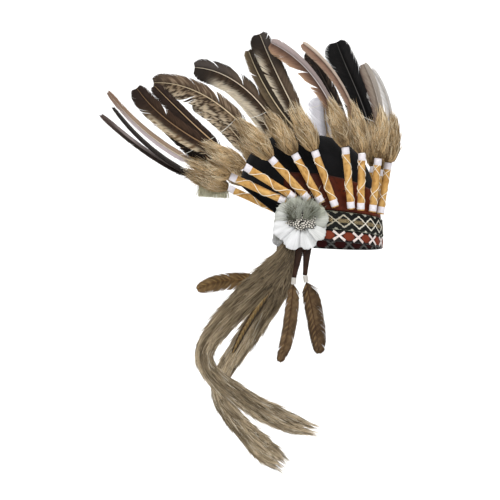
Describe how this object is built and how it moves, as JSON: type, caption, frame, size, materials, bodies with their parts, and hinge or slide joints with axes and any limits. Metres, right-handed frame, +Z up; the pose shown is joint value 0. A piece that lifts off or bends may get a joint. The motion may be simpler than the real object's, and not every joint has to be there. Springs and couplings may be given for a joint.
{
  "type": "feathered headdress",
  "caption": "Feathered headdress: a black felt cap with a woven brow band, wrapped sticks that carry tufted feathers, and a rosette on each side from which a fur tail hangs.",
  "frame": {"origin": "centre of the head opening, level with the lower rim at the front", "axes": "+X towards the wearer's front, +Y towards the wearer's left, +Z up"},
  "size_m": [0.4296, 0.2571, 0.625],
  "materials": {
    "felt": "black felt with a fuzzy surface",
    "laced_leather": "red-brown leather with white lacing",
    "woven_band": "woven, black with cream zigzags",
    "leather": "matt red-brown leather",
    "suede_wrap": "golden suede, white tape at both ends",
    "feather_white": "soft white feather with a fur tuft",
    "feather_grey": "soft beige-grey feather with a fur tuft",
    "feather_pink": "soft pinkish-brown feather with a fur tuft",
    "feather_brown": "dark brown feather with a fur tuft",
    "feather_banded": "dark grey-brown feather with a cream edge and a fur tuft",
    "feather_speckled": "speckled brown feather with a fur tuft",
    "feather_cream": "cream feather with a fur tuft",
    "feather_black": "black feather with a fur tuft",
    "petal_feathers": "white petal feathers with black dotted ones in the middle",
    "fur": "grey-brown fur",
    "thong": "dark brown leather",
    "feather_drop": "barred brown feather with a white wrap"
  },
  "bodies": {
    "root": {"crown_cap": "felt", "laced_strip": "laced_leather", "brow_band": "woven_band", "leather_panel": "leather", "stick_right_1": "suede_wrap", "plume_right_1": "feather_white", "stick_right_2": "suede_wrap", "plume_right_2": "feather_grey", "stick_right_3": "suede_wrap", "plume_right_3": "feather_pink", "stick_right_4": "suede_wrap", "plume_right_4": "feather_brown", "stick_right_5": "suede_wrap", "plume_right_5": "feather_banded", "stick_right_6": "suede_wrap", "plume_right_6": "feather_banded", "stick_right_7": "suede_wrap", "plume_right_7": "feather_speckled", "stick_right_8": "suede_wrap", "plume_right_8": "feather_brown", "stick_right_9": "suede_wrap", "plume_right_9": "feather_cream", "rosette_right": "petal_feathers", "tail_right": "fur", "thong_right_1": "thong", "drop_feather_right_1": "feather_drop", "thong_right_2": "thong", "drop_feather_right_2": "feather_drop", "stick_left_1": "suede_wrap", "plume_left_1": "feather_white", "stick_left_2": "suede_wrap", "plume_left_2": "feather_black", "stick_left_3": "suede_wrap", "plume_left_3": "feather_black", "stick_left_4": "suede_wrap", "plume_left_4": "feather_white", "stick_left_5": "suede_wrap", "plume_left_5": "feather_brown", "stick_left_6": "suede_wrap", "plume_left_6": "feather_banded", "stick_left_7": "suede_wrap", "plume_left_7": "feather_speckled", "stick_left_8": "suede_wrap", "plume_left_8": "feather_brown", "stick_left_9": "suede_wrap", "plume_left_9": "feather_grey", "rosette_left": "petal_feathers", "tail_left": "fur", "thong_left_1": "thong", "drop_feather_left_1": "feather_drop", "thong_left_2": "thong", "drop_feather_left_2": "feather_drop"}
  },
  "joints": []
}
